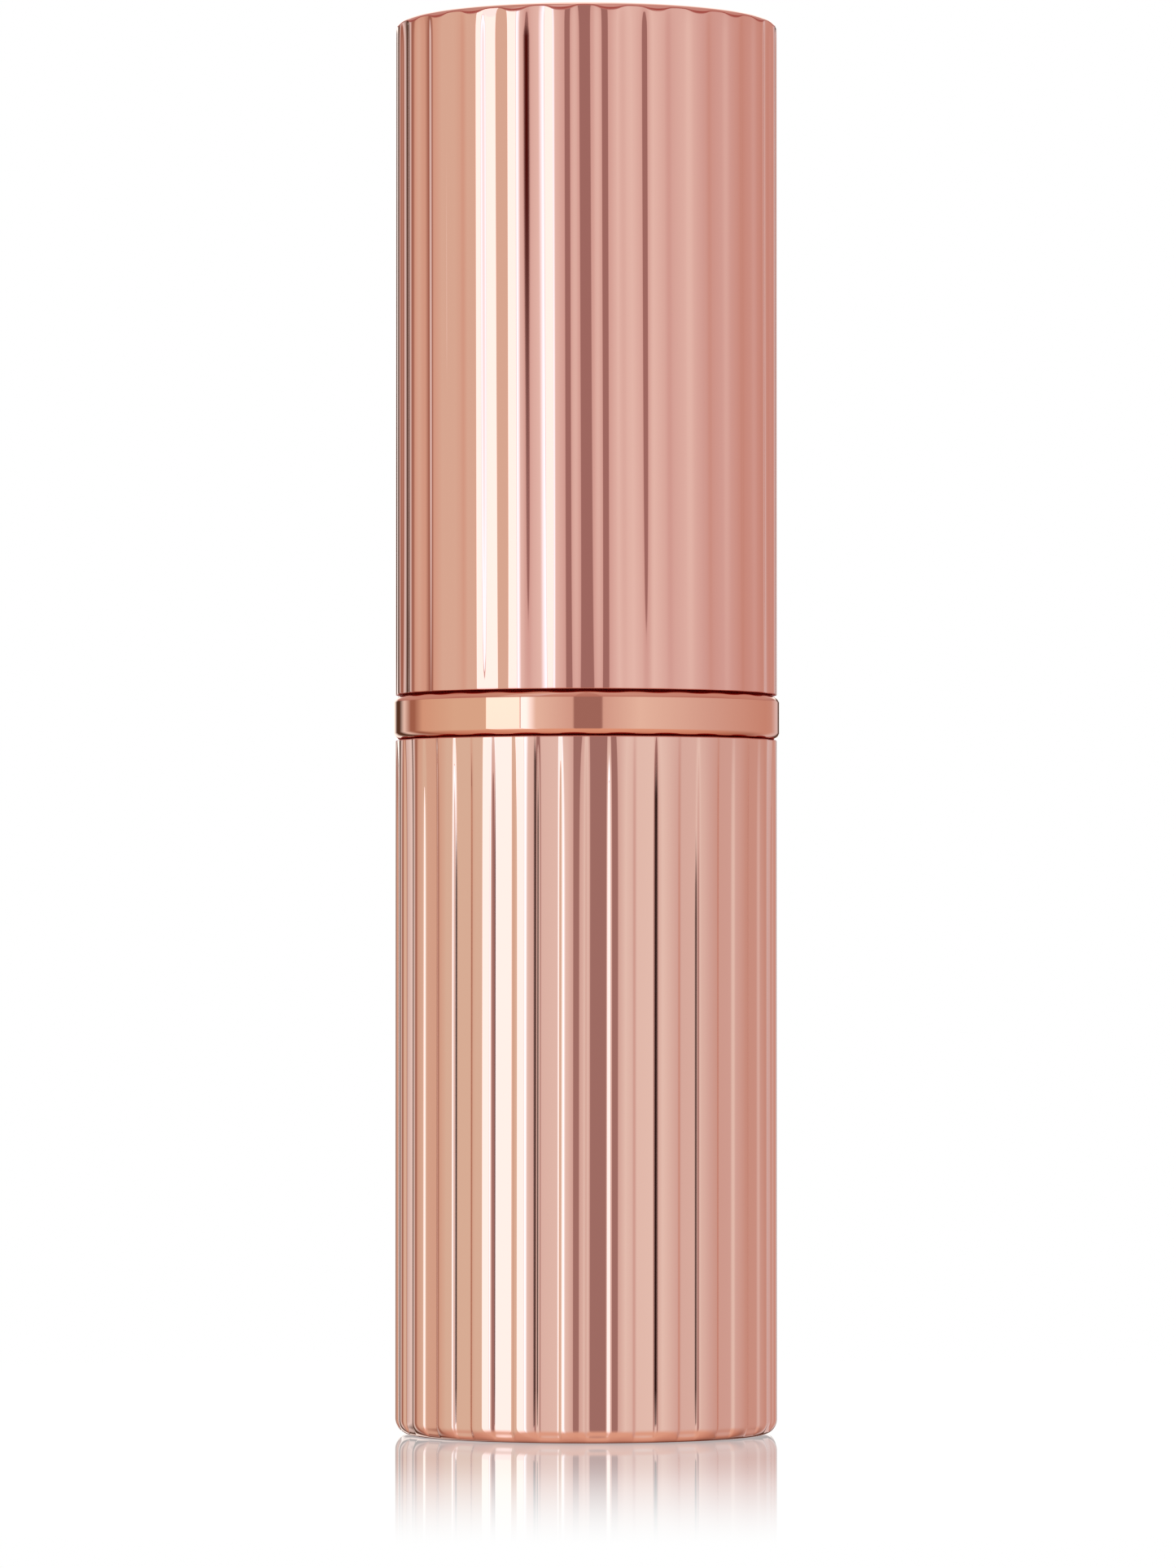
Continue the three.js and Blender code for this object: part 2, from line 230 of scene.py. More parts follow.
def base_flute(across, height):
    """The base's flute at a height: pressed crisply, fading to a shallow wave at the top."""
    crisp = 1 - 0.6 * np.exp(-(BASE_TOP - height) / (2.5 * MM))
    crown, dish = BASE_DEPTH / 2, BASE_DEPTH / 8
    sharp = pressed(across, BASE_RIB, BASE_FALL, BASE_DEPTH, crown, dish) - BASE_DEPTH
    soft = wave(across, BASE_WAVE) - BASE_WAVE
    return crisp * sharp + (1 - crisp) * soft


def cap_flute(across, height):
    """The cap's flute at a height: pressed and wave mixed, and shallower near the bottom."""
    full = 1 - 0.45 * np.exp(-(height - CAP_BOTTOM) / (6 * MM))
    crown, dish = CAP_DEPTH / 5, CAP_DEPTH / 3
    sharp = pressed(across, CAP_RIB, CAP_FALL, CAP_DEPTH, crown, dish)
    pressed_part = CAP_PRESSED * (sharp - CAP_DEPTH)
    wave_part = (1 - CAP_PRESSED) * (wave(across, CAP_WAVE) - CAP_WAVE)
    end = wave(across, CAP_END_WAVE) - CAP_END_WAVE
    return full * (pressed_part + wave_part) + (1 - full) * end


def base_press(facing, height):
    """How much of the base's flutes is pressed: none at the floor, all by half a millimetre up."""
    return smooth_step((height - BASE_BOTTOM) / (0.5 * MM)) * np.ones_like(facing)


def cap_press(facing, height):
    """How much of the cap's flutes is pressed. The press sat at a slight tilt, so close to the
    shoulder it bit full depth only on the side that faces a little left of the viewer."""
    shallow = 0.85 * (1 - 0.75 * np.exp(-(((facing + 0.13) / 0.36) ** 2)))
    return 1 - shallow * np.exp(-(CAP_TOP - height) / (0.42 * MM))


# %% Columns that crowd where a flute falls away
def flute_columns(edge, width, count):
    """Places across one flute, from -0.5 to 0.5 of a pitch, dense within width of both edges.
    The density is 1 plus a bell at each edge, and equal shares of its running sum are taken."""
    fine = np.linspace(-0.5, 0.5, 4001)
    density = 1 + 5 * np.exp(-(((np.abs(fine) - edge) / width) ** 2))
    total = np.concatenate([[0], np.cumsum((density[1:] + density[:-1]) / 2)])
    return np.interp(np.linspace(0, 1, count, endpoint=False), total / total[-1], fine)


def soft_minimum(first, second, blend):
    """The smaller of two lengths, rounded over where they cross: half of a + b - sqrt((a-b)^2 + k^2)."""
    return 0.5 * (first + second - np.sqrt((first - second) ** 2 + blend**2))


# %% [markdown]
# ## Carrying a profile round with flutes
# A fluted shell is a turned cup with flutes on its outside. There are two ways to join the two.
# Pressed on, the flute is added to the turned radius, so it ends level all round: that is how
# the foot and the thin rims look. Cut off, the radius is the smaller of the two, so a channel
# runs on after the ribs have been rounded away, which gives the shoulder its row of arches.

# %% A fluted shell
PLAIN, PRESSED, CUT = 0, 1, 2


def fluted_shell(name, profile, kinds, flute, press, rib_turn, columns, crease_shades, joint):
    """Carries profile round the axis. A PRESSED row adds flute times press to its radius. A CUT
    row takes the soft minimum of its radius and crest + flute times press. rib_turn(height) is
    where rib 0 faces, and joint is the height of the edge that meets the ring. It also stores the
    painted shade of the creases, of the joint and of the shoulder ridge as values on the mesh."""
    places = flute_columns(*columns)
    across_turn = (np.arange(FLUTES)[:, None] - FLUTES // 2 + places[None, :]).reshape(-1)
    height = profile[:, 1:]
    kind = kinds[:, None]
    facing = rib_turn(height) + across_turn[None, :] * PITCH
    turn = facing - np.pi / 2
    across = 2 * np.abs((across_turn + 0.5) % 1 - 0.5)[None, :]
    fall = flute(across, height) * press(facing, height)
    plain = np.broadcast_to(profile[:, :1], fall.shape)
    cut = soft_minimum(plain, CREST + fall, 0.03 * MM)
    radius = np.select([kind == PRESSED, kind == CUT], [plain + fall, cut], plain)
    # Painted shade in the creases
    marks = crease_shades(across_turn[None, :], height) * (kind != PLAIN)
    # Painted shade: a dark line along the ridge where the shoulder cuts off the flutes, joined below
    # with the painted shade at the joint
    ridge = np.exp(-(((plain - CREST - fall) / (0.016 * MM)) ** 2)) * (kind == CUT)
    points = placed(radius, turn, height)
    seam_shades = np.maximum(seam_shade_mark(points[..., 2], joint), 0.9 * ridge)
    return skin(name, points, attributes={"crease_shade": marks, "seam_shade": seam_shades})


def stack(*parts):
    """Joins stretches of a profile, given as (points, kind), and returns it with each row's kind."""
    profile = np.vstack([points for points, _ in parts])
    return profile, np.concatenate([np.full(len(points), kind) for points, kind in parts])


# %% [markdown]
# ### Painted shade in joints and creases
# The hair-wide joints above and below the ring see only metal that sees metal, so they look deep
# red. That shade is painted: a value on the mesh marks the surfaces that face into a joint, and
# the metal's colour goes deep red there. The ridge where the flutes are cut off by the shoulder
# gets the same painted dark line.
#
# Where the press bit hardest, the foot of a rib's fall is a sharp crease that hardly any light
# leaves, and that shade is painted. Only some ribs have one, and it runs out to a point towards
# the ring. Each is a narrow mark of painted shade across the flute, kept as a value on the mesh
# for the metal to read.


# %% Painted shade of joints and creases, as values on the surface
def seam_shade_mark(height, joint, reach_in=0.06 * MM):
    """1 at the height of a joint, falling smoothly to 0 at reach_in from it: where the shade of a
    joint is painted.
    """
    return 1 - smooth_step(np.abs(height - joint) / reach_in)


def crease_shade_marks(places):
    """Returns a function that is 1 in the middle of each crease's painted shade and 0 away from it.
    places lists (rib, offset across the flute, half width, heights in mm where the crease begins,
    is full, is still full, and ends). It narrows to a point at both ends."""

    def marks(across_turn, height):
        total = np.zeros(np.broadcast_shapes(across_turn.shape, height.shape))
        for rib, offset, half_width, begins, full, still_full, ends in places:
            grown = smooth_step((height / MM - begins) / (full - begins))
            grown = grown * smooth_step((ends - height / MM) / (ends - still_full))
            distance = (across_turn - rib - offset) / (half_width * (0.3 + 0.7 * grown))
            total = np.maximum(total, np.sqrt(grown) * np.exp(-(distance**4)))
        return total

    return marks


# %% [markdown]
# ## The base
# A deep-drawn cup: closed foot with a shallow recess for the shade label, a generous round at
# the foot, a straight fluted wall, and a thin rim. The label recess and the bore are part of
# the same skin, so the piece is one closed solid with a real wall.

# %% Base shell
SHELL_BORE = reach("base_liner") + 0.05 * MM
FLOOR_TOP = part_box("base_liner")[0].z - 0.1 * MM
RECESS = reach("base_label") + 0.15 * MM
RECESS_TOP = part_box("base_label")[1].z + 0.05 * MM
FOOT = 0.85 * MM
RIM = 0.07 * MM


def base_profile():
    """From the middle of the recess, out under the foot, up the wall, over the rim, down the bore
    and back to the middle of the floor."""
    low, high = BASE_BOTTOM, BASE_TOP
    lip = 0.06 * MM
    return stack(
        (run([0, RECESS_TOP], [RECESS, RECESS_TOP], 4), PLAIN),
        (run([RECESS, RECESS_TOP], [RECESS, low + lip], 2), PLAIN),
        (arc([RECESS + lip, low + lip], lip, 180, 270, 3), PLAIN),
        (run([RECESS + 3 * lip, low], [CREST - FOOT, low], 3), PLAIN),
        (arc([CREST - FOOT, low + FOOT], FOOT, -90, 0, 18), PRESSED),
        (run([CREST, low + FOOT + 0.2 * MM], [CREST, high - 8 * MM], 16), PRESSED),
        (run([CREST, high - 8 * MM], [CREST, high - MM], 20), PRESSED),
        (run([CREST, high - MM], [CREST, high - RIM], 8), PRESSED),
        (arc([CREST - RIM, high - RIM], RIM, 0, 90, 6), PRESSED),
        (arc([SHELL_BORE + lip, high - lip], lip, 90, 180, 3), PLAIN),
        (run([SHELL_BORE, high - 1 * MM], [SHELL_BORE, FLOOR_TOP], 3), PLAIN),
        (run([SHELL_BORE, FLOOR_TOP], [0, FLOOR_TOP], 3), PLAIN),
        (np.array([[0, FLOOR_TOP]]), PLAIN),
    )


def base_rib_turn(height):
    """Rib 0 of the base faces a little left of the viewer, and leans by a fifth of a degree."""
    return np.radians(-4.0 + 0.2 * (height - BASE_BOTTOM) / (BASE_TOP - BASE_BOTTOM))


# Where painted shade darkens a crease on the base, one line for each
BASE_CREASE_SHADES = [
    (-3, 0.300, 0.018, 0.9, 1.2, 29.0, 35.0),
    (-2, 0.300, 0.010, 0.9, 1.2, 31.0, 36.8),
    (-1, 0.205, 0.024, 0.9, 1.2, 36.5, 38.1),
    (-1, 0.262, 0.012, 0.9, 1.2, 33.0, 38.1),
    (2, -0.266, 0.028, 0.9, 1.2, 34.5, 37.3),
    (3, -0.310, 0.019, 0.9, 1.2, 29.0, 33.0),
    (7, 0.290, 0.024, 0.9, 1.2, 31.0, 36.0),
    (10, -0.270, 0.030, 0.9, 1.2, 32.0, 37.0),
    (-8, 0.280, 0.024, 0.9, 1.2, 31.0, 36.5),
    (-11, -0.300, 0.020, 0.9, 1.2, 30.0, 35.0),
]
base_outline, base_kinds = base_profile()
fluted_base = fluted_shell(
    "fluted_base", base_outline, base_kinds, base_flute, base_press, base_rib_turn,
    (BASE_RIB / 2, 0.06, 36), crease_shade_marks(BASE_CREASE_SHADES), BASE_TOP,
)

# %% [markdown]
# ## The cap
# The same drawing process turned over: an open rim below, and above it a tight round shoulder
# and a flat top.

# %% Cap shell
ROOF = heights("cap_liner")[1] + 0.05 * MM
SHOULDER = 0.52 * MM
SPARE = 0.03 * MM


def cap_profile():
    """From the middle of the inner roof, down the bore, round the rim, up the wall, over the
    shoulder and back to the middle of the top. The shoulder is an oval that starts SPARE outside
    the ribs, so that it meets them at a slant."""
    low, high = CAP_BOTTOM, CAP_TOP
    lip = 0.06 * MM
    return stack(
        (run([0, ROOF], [SHELL_BORE, ROOF], 3), PLAIN),
        (run([SHELL_BORE, ROOF], [SHELL_BORE, low + 1 * MM], 3), PLAIN),
        (arc([SHELL_BORE + lip, low + lip], lip, 180, 270, 3), PLAIN),
        (arc([CREST - RIM, low + RIM], RIM, -90, 0, 6), PRESSED),
        (run([CREST, low + RIM + 0.05 * MM], [CREST, low + MM], 8), PRESSED),
        (run([CREST, low + MM], [CREST, low + 10 * MM], 20), PRESSED),
        (run([CREST, low + 10 * MM], [CREST, high - 5 * MM], 18), PRESSED),
        (run([CREST, high - 5 * MM], [CREST, high - 1.1 * SHOULDER], 18), PRESSED),
        (arc([CREST - SHOULDER, high - SHOULDER], (SHOULDER + SPARE, SHOULDER), 0, 90, 26), CUT),
        (run([CREST - SHOULDER - 0.6 * MM, high], [0, high], 4), PLAIN),
        (np.array([[0, high]]), PLAIN),
    )


def cap_rib_turn(height):
    """Rib 0 of the cap faces further left than the base's, and leans the other way."""
    return np.radians(-7.5 + 0.7 * (CAP_TOP - height) / (CAP_TOP - CAP_BOTTOM))


# Where painted shade darkens a crease on the cap, one line for each
CAP_CREASE_SHADES = [
    (-1, 0.262, 0.056, 45.0, 70.0, 75.6, 76.8),
    (8, -0.260, 0.030, 48.0, 72.0, 74.8, 76.4),
    (-9, 0.250, 0.032, 47.0, 71.0, 74.8, 76.4),
]
cap_outline, cap_kinds = cap_profile()
fluted_cap = fluted_shell(
    "fluted_cap", cap_outline, cap_kinds, cap_flute, cap_press, cap_rib_turn,
    (CAP_RIB / 2, 0.12, 36), crease_shade_marks(CAP_CREASE_SHADES), CAP_BOTTOM,
)

# %% [markdown]
# ## The ring
# A smooth band with rounded edges, turned in on top to a flat flange. The cap lands on a low
# bead on that flange, and a short skirt hangs over the base: both keep light and dust out of the
# joints. The band is spun from sheet, so it has an even thin wall, hidden by its core.

# %% Collar ring
RING = reach("collar_ring")
RING_WALL = 0.4 * MM
RING_ROUND = 0.52 * MM
RING_EDGE = 20.0


def ring_profile():
    """Round the section of the band, anticlockwise from the inside of its lower edge. The two
    round-overs are ovals that start RING_EDGE degrees in, which leaves a crisp edge."""
    hole = bore("collar_ring")
    inner = RING - RING_WALL
    under = RING_TOP - RING_WALL
    low = BASE_TOP + 0.04 * MM
    clearance = 0.01 * MM
    landing = SHELL_BORE + 0.3 * MM
    bead_rise = CAP_BOTTOM - RING_TOP - clearance
    oval = (RING_WALL / math.cos(math.radians(RING_EDGE)), RING_ROUND)
    crisp = RING_ROUND * (1 - math.sin(math.radians(RING_EDGE)))
    return np.vstack([
        run([inner, RING_BOTTOM + 0.05 * MM], [inner, BASE_TOP + clearance], 2),
        run([inner, BASE_TOP + clearance], [inner + 0.06 * MM, BASE_TOP + clearance], 2),
        arc([inner, low + RING_ROUND], oval, -80, -RING_EDGE, 12),
        run([RING, low + crisp + 0.01 * MM], [RING, RING_TOP - crisp - 0.01 * MM], 8),
        [[RING, RING_TOP - crisp - 0.01 * MM]],
        arc([inner, RING_TOP - RING_ROUND], oval, RING_EDGE, 90, 14),
        arc([landing, RING_TOP], (0.1 * MM, bead_rise), 0, 180, 8),
        run([landing - 0.15 * MM, RING_TOP], [hole, RING_TOP], 3),
        run([hole, RING_TOP], [hole, under], 2),
        run([hole, under], [inner, under], 3),
        run([inner, under], [inner, RING_BOTTOM + 0.05 * MM], 4),
    ])


ring_points = around(ring_profile(), 360)
# Painted shade on the ring's faces next to the joints above and below it
ring_seam_shade = np.maximum(
    seam_shade_mark(ring_points[..., 2], CAP_BOTTOM, 0.10 * MM),
    seam_shade_mark(ring_points[..., 2], BASE_TOP, 0.08 * MM),
)
smooth_ring = skin("smooth_ring", ring_points, closed_rows=True, attributes={"seam_shade": ring_seam_shade})

# %% [markdown]
# ## The sleeve
# The bright tube that shows once the cap is off. It is a drawn tube whose top is rolled in over
# the mechanism, which leaves a round shoulder and a small flat lip round the mouth.

# %% Bright sleeve
SLEEVE = reach("sleeve_tube")
SLEEVE_BOTTOM, SLEEVE_TOP = heights("sleeve_tube")


def sleeve_profile():
    """Round the section of the tube wall, anticlockwise from the inside of its lower edge."""
    wall = 0.3 * MM
    inner = SLEEVE - wall
    lip = bore("sleeve_tube")
    bend = 0.45 * MM
    under = SLEEVE_TOP - 0.33 * MM
    edge = 0.12 * MM
    return np.vstack([
        run([inner, SLEEVE_BOTTOM], [SLEEVE, SLEEVE_BOTTOM], 2),
        run([SLEEVE, SLEEVE_BOTTOM], [SLEEVE, SLEEVE_TOP - bend], 30),
        arc([SLEEVE - bend, SLEEVE_TOP - bend], bend, 0, 90, 12),
        run([SLEEVE - bend - 0.1 * MM, SLEEVE_TOP], [lip + edge, SLEEVE_TOP], 6),
        arc([lip + edge, SLEEVE_TOP - edge], edge, 90, 180, 5),
        run([lip, SLEEVE_TOP - 1.5 * edge], [lip, under], 2),
        run([lip, under], [inner, under], 4),
        run([inner, under], [inner, SLEEVE_BOTTOM], 12),
    ])


bright_sleeve = skin("bright_sleeve", around(sleeve_profile(), 240), closed_rows=True)

# %% [markdown]
# ## The wax bullet and its cup
# The stick is cast in a mould and its end is cut on a slant, which leaves a tear-shaped face
# with a soft edge. Its top is a height worked out over the whole round section: the lower of
# a crowned top and a tilted plane, rounded where they meet, and rolled down near the rim.

# %% Bullet
BULLET = reach("lipstick_bullet")
BULLET_BOTTOM, BULLET_TOP = heights("lipstick_bullet")
SLANT = math.tan(math.radians(48))
SLANT_START = -3.4 * MM


def bullet_top(x, y):
    """Height of the bullet's end over the point x, y."""
    crown = BULLET_TOP - 0.05 * MM - (x**2 + y**2) / (60 * MM)
    cut = BULLET_TOP - (x - SLANT_START) * SLANT
    ridge = soft_minimum(crown, cut, 1.1 * MM)
    rim = np.clip(np.hypot(x, y) / BULLET, 0, 1)
    rolled = 0.9 * MM * (1 - np.sqrt(np.clip(1 - np.clip((rim - 0.86) / 0.14, 0, 1) ** 2, 0, 1)))
    return ridge - rolled


def bullet_points(columns=160):
    """Rows from the middle of the foot, out, up the side and in over the end to its middle."""
    turn = turns(columns)
    foot = 0.2 * MM
    under = np.vstack([
        run([0, BULLET_BOTTOM], [BULLET - foot, BULLET_BOTTOM], 4),
        arc([BULLET - foot, BULLET_BOTTOM + foot], foot, -90, 0, 4),
    ])
    below = around(under, columns)
    x, y = BULLET * np.cos(turn), BULLET * np.sin(turn)
    rim = bullet_top(x, y)
    share = np.linspace(0, 1, 41)[1:, None]
    side = BULLET_BOTTOM + foot + (rim - BULLET_BOTTOM - foot) * share
    wall = np.stack([np.broadcast_to(x, side.shape), np.broadcast_to(y, side.shape), side], -1)
    inward = np.concatenate([np.cos(np.linspace(0, 1, 13)[1:] * 1.05), np.linspace(0.48, 0, 24)])
    inward = inward[:, None]
    over = np.stack([x * inward, y * inward, bullet_top(x * inward, y * inward)], -1)
    return np.concatenate([below, wall, over])


wax_bullet = skin("wax_bullet", bullet_points())

# %% Cup with its two lugs
CUP = 6.75 * MM
CUP_BORE = BULLET + 0.05 * MM
CUP_BOTTOM, CUP_TOP = heights("carrier_cup")
LUG_REACH = reach("carrier_cup")


def cup_profile():
    """Round the section of the cup: a vent hole in the floor, a thin wall and an eased rim."""
    vent = bore("carrier_cup")
    ease = 0.12 * MM
    floor = CUP_BOTTOM + 0.8 * MM
    return np.vstack([
        run([vent, CUP_BOTTOM], [CUP - 0.3 * MM, CUP_BOTTOM], 3),
        arc([CUP - 0.3 * MM, CUP_BOTTOM + 0.3 * MM], 0.3 * MM, -90, 0, 5),
        run([CUP, CUP_BOTTOM + 0.5 * MM], [CUP, CUP_TOP - ease], 8),
        arc([CUP - ease, CUP_TOP - ease], ease, 0, 90, 4),
        arc([CUP_BORE + ease, CUP_TOP - ease], ease, 90, 180, 4),
        run([CUP_BORE, CUP_TOP - 2 * ease], [CUP_BORE, floor], 6),
        run([CUP_BORE, floor], [vent, floor], 3),
        run([vent, floor], [vent, CUP_BOTTOM], 2),
    ])


def lug_points(side):
    """A round peg along X, as a turned profile laid over: its own axis becomes the X axis."""
    size, ease = 0.85 * MM, 0.15 * MM
    root, end = CUP_BORE + 0.3 * MM, LUG_REACH
    profile = np.vstack([
        run([0, root], [size, root], 2),
        run([size, root], [size, end - ease], 4),
        arc([size - ease, end - ease], ease, 0, 90, 4),
        np.array([[0, end]]),
    ])
    peg = around(profile, 32)
    level = CUP_BOTTOM + 1.6 * MM
    return np.stack([side * peg[..., 2], side * peg[..., 0], peg[..., 1] + level], -1)


def join(target, *others):
    """Joins objects into the first one and returns it."""
    with bpy.context.temp_override(
        active_object=target, selected_editable_objects=[target, *others],
    ):
        bpy.ops.object.join()
    return target


bullet_cup = skin("bullet_cup", around(cup_profile(), 144), closed_rows=True)
lugs = [skin(f"lug_{index}", lug_points(side)) for index, side in enumerate((1, -1))]
bullet_cup = join(bullet_cup, *lugs)

# %% [markdown]
# ## The linings
# Both shells are lined with moulded white plastic. The cap's lining has six low ribs that grip
# the sleeve, so its inner wall is a turned wall pushed in along six narrow bands.

# %% Cap lining
LINING = reach("cap_liner")
LINING_BOTTOM, LINING_TOP = heights("cap_liner")


def lining_points(columns=240):
    """From the middle of the roof's underside, down the ribbed wall, round the open edge, up the
    outside and back over the roof. A rib's height is a narrow bell in turn, six times round,
    faded in and out over a millimetre in height."""
    inner, roof, lead = 9.3 * MM, 0.6 * MM, 0.3 * MM
    rib_low, rib_high = LINING_BOTTOM + 1.6 * MM, heights("sleeve_tube")[1] - 1 * MM
    profile = np.vstack([
        run([0, LINING_TOP - roof], [inner - 0.5 * MM, LINING_TOP - roof], 4),
        arc([inner - 0.5 * MM, LINING_TOP - roof - 0.5 * MM], 0.5 * MM, 90, 0, 6),
        run([inner, LINING_TOP - roof - 1 * MM], [inner, LINING_BOTTOM + lead], 60),
        run([inner, LINING_BOTTOM + lead], [inner + lead, LINING_BOTTOM], 2),
        run([inner + lead, LINING_BOTTOM], [LINING, LINING_BOTTOM], 1),
        run([LINING, LINING_BOTTOM], [LINING, LINING_TOP], 6),
        run([LINING, LINING_TOP], [0, LINING_TOP], 3),
        np.array([[0, LINING_TOP]]),
    ])
    turn = turns(columns)
    height = profile[:, 1:]
    from_rib = ((turn * 6 / (2 * np.pi)) % 1) - 0.5
    bell = np.exp(-((from_rib / 0.035) ** 4))
    rise = smooth_step((height - rib_low) / MM) * smooth_step((rib_high - height) / MM)
    on_wall = np.abs(profile[:, :1] - inner) < 1e-7
    return placed(profile[:, :1] - 0.2 * MM * bell * rise * on_wall, turn, height)


cap_lining = skin("cap_lining", lining_points()[::-1])

# %% Base lining, ring core, weight, label and drag ring
def base_lining_profile():
    """The section of the base lining: pocket for the weight, web, socket, upper bore."""
    low, high = heights("base_liner")
    outer = reach("base_liner")
    pocket, socket, upper = reach("base_weight") + 0.1 * MM, 8.85 * MM, SLEEVE + 0.1 * MM
    web_low, web_high, shelf = heights("base_weight")[1] + 0.1 * MM, 8.2 * MM, 18.2 * MM
    hole = bore("base_liner")
    corners = [
        [pocket, low], [outer, low], [outer, high], [upper, high], [upper, shelf],
        [socket, shelf], [socket, web_high], [hole, web_high], [hole, web_low], [pocket, web_low],
    ]
    return np.vstack([run(a, b, 4) for a, b in zip(corners, corners[1:] + corners[:1])])


def hoop_profile(inner, outer, low, high, ease):
    """A flat hoop with eased corners, anticlockwise."""
    left, right, foot, top = inner + ease, outer - ease, low + ease, high - ease
    corners = [(right, foot, -90), (right, top, 0), (left, top, 90), (left, foot, 180)]
    return np.vstack([arc([x, z], ease, begin, begin + 90, 4) for x, z, begin in corners])


def disc_profile(radius, low, high, ease):
    """A solid disc with eased edges, from the middle of its foot to the middle of its top."""
    return np.vstack([
        run([0, low], [radius - ease, low], 6),
        arc([radius - ease, low + ease], ease, -90, 0, 4),
        arc([radius - ease, high - ease], ease, 0, 90, 4),
        run([radius - 1.5 * ease, high], [0, high], 6),
        np.array([[0, high]]),
    ])


base_lining = skin("base_lining", around(base_lining_profile()), closed_rows=True)
ring_core = skin(
    "ring_core",
    around(hoop_profile(bore("collar_core"), reach("collar_core"), *heights("collar_core"), 0.1 * MM)),
    closed_rows=True,
)
foot_weight = skin(
    "foot_weight", around(disc_profile(reach("base_weight"), *heights("base_weight"), 0.4 * MM)),
)
foot_label = skin(
    "foot_label", around(disc_profile(reach("base_label"), *heights("base_label"), 0.03 * MM)),
)
drag_low, drag_high = heights("brake_ring")
drag_size = (drag_high - drag_low) / 2
drag_circle = arc([reach("brake_ring") - drag_size, drag_low + drag_size], drag_size, 0, 360, 16)
drag_ring = skin("drag_ring", around(drag_circle[:-1]), closed_rows=True)

# %% [markdown]
# ## Building materials from nodes
# A few helpers keep node trees short to read. A group is used for effects that several
# materials share; shaders and constants stay in each material.


# %% Node helpers
class Tree:
    """A node tree with short calls: add a node with its settings and inputs, and link."""

    def __init__(self, tree):
        self.tree = tree
        self.nodes = tree.nodes

    def add(self, kind, inputs=None, **settings):
        """Adds a node. inputs maps socket names or numbers to values or to other sockets."""
        node = self.nodes.new(kind)
        for label, value in settings.items():
            setattr(node, label, value)
        for label, value in (inputs or {}).items():
            if isinstance(value, bpy.types.NodeSocket):
                self.tree.links.new(value, node.inputs[label])
            else:
                node.inputs[label].default_value = value
        return node

    def math(self, operation, first, second=0.0, clamp=False):
        """The result of one Math node."""
        node = self.add("ShaderNodeMath", {0: first, 1: second}, operation=operation)
        node.use_clamp = clamp
        return node.outputs[0]

    def mix(self, factor, first, second, blend="MIX"):
        """The colour result of a Mix node."""
        node = self.add("ShaderNodeMix", data_type="RGBA", blend_type=blend)
        for label, value in ((0, factor), (6, first), (7, second)):
            if isinstance(value, bpy.types.NodeSocket):
                self.tree.links.new(value, node.inputs[label])
            else:
                node.inputs[label].default_value = value
        return node.outputs[2]

    def between(self, value, low, high, out_low=0.0, out_high=1.0):
        """Value carried smoothly from one range to another."""
        inputs = {0: value, 1: low, 2: high, 3: out_low, 4: out_high}
        return self.add("ShaderNodeMapRange", inputs, interpolation_type="SMOOTHSTEP").outputs[0]

    def stretched(self, place, stretch):
        """A place multiplied axis by axis."""
        inputs = {0: place, 1: stretch}
        return self.add("ShaderNodeVectorMath", inputs, operation="MULTIPLY").outputs[0]

    def noise(self, place, size, detail):
        """The value of a Noise Texture."""
        inputs = {"Vector": place, "Scale": size, "Detail": detail}
        return self.add("ShaderNodeTexNoise", inputs).outputs[0]

    def finish(self, shader, colour, roughness, height, distance, metallic=0.0):
        """Links a colour, a roughness and a bump height to a shader."""
        bump = self.add("ShaderNodeBump", {"Height": height, "Distance": distance, "Strength": 1.0})
        surface = {"Base Color": colour, "Roughness": roughness, "Normal": bump.outputs[0]}
        for label, socket in surface.items():
            self.tree.links.new(socket, shader.inputs[label])
        shader.inputs["Metallic"].default_value = metallic

    def ramp(self, value, stops, interpolation="LINEAR"):
        """A Color Ramp with the given (place, colour) stops."""
        node = self.add("ShaderNodeValToRGB", {0: value})
        band = node.color_ramp
        band.interpolation = interpolation
        while len(band.elements) < len(stops):
            band.elements.new(0.5)
        for element, (place, _) in zip(band.elements, stops):
            element.position = place
        for element, (_, colour) in zip(band.elements, stops):
            element.color = (*colour, 1) if len(colour) == 3 else colour
        return node.outputs[0]


def new_material(name):
    """A material with an empty tree and a Principled BSDF joined to its output."""
    material = bpy.data.materials.new(name)
    material.use_nodes = True
    material.node_tree.nodes.clear()
    tree = Tree(material.node_tree)
    shader = tree.add("ShaderNodeBsdfPrincipled")
    tree.add("ShaderNodeOutputMaterial", {"Surface": shader.outputs[0]})
    return material, tree, shader


def new_group(name, inputs, outputs):
    """A shader node group. inputs and outputs list (name, socket type, default)."""
    group = bpy.data.node_groups.new(name, "ShaderNodeTree")
    for direction, sockets in (("INPUT", inputs), ("OUTPUT", outputs)):
        for label, kind, default in sockets:
            socket = group.interface.new_socket(label, in_out=direction, socket_type=kind)
            if default is not None:
                socket.default_value = default
    tree = Tree(group)
    return group, tree, tree.add("NodeGroupInput"), tree.add("NodeGroupOutput")


FLOAT, COLOUR, VECTOR = "NodeSocketFloat", "NodeSocketColor", "NodeSocketVector"

# %% [markdown]
# ## Surface handling, shared by every hard piece
# However clean a piece is, its polish has a slow unevenness, hair-fine scratches from the mop,
# and a few specks. One group gives these as values: a height for bump, a roughness to add and
# a mask of specks. Each material places it with its own strengths.


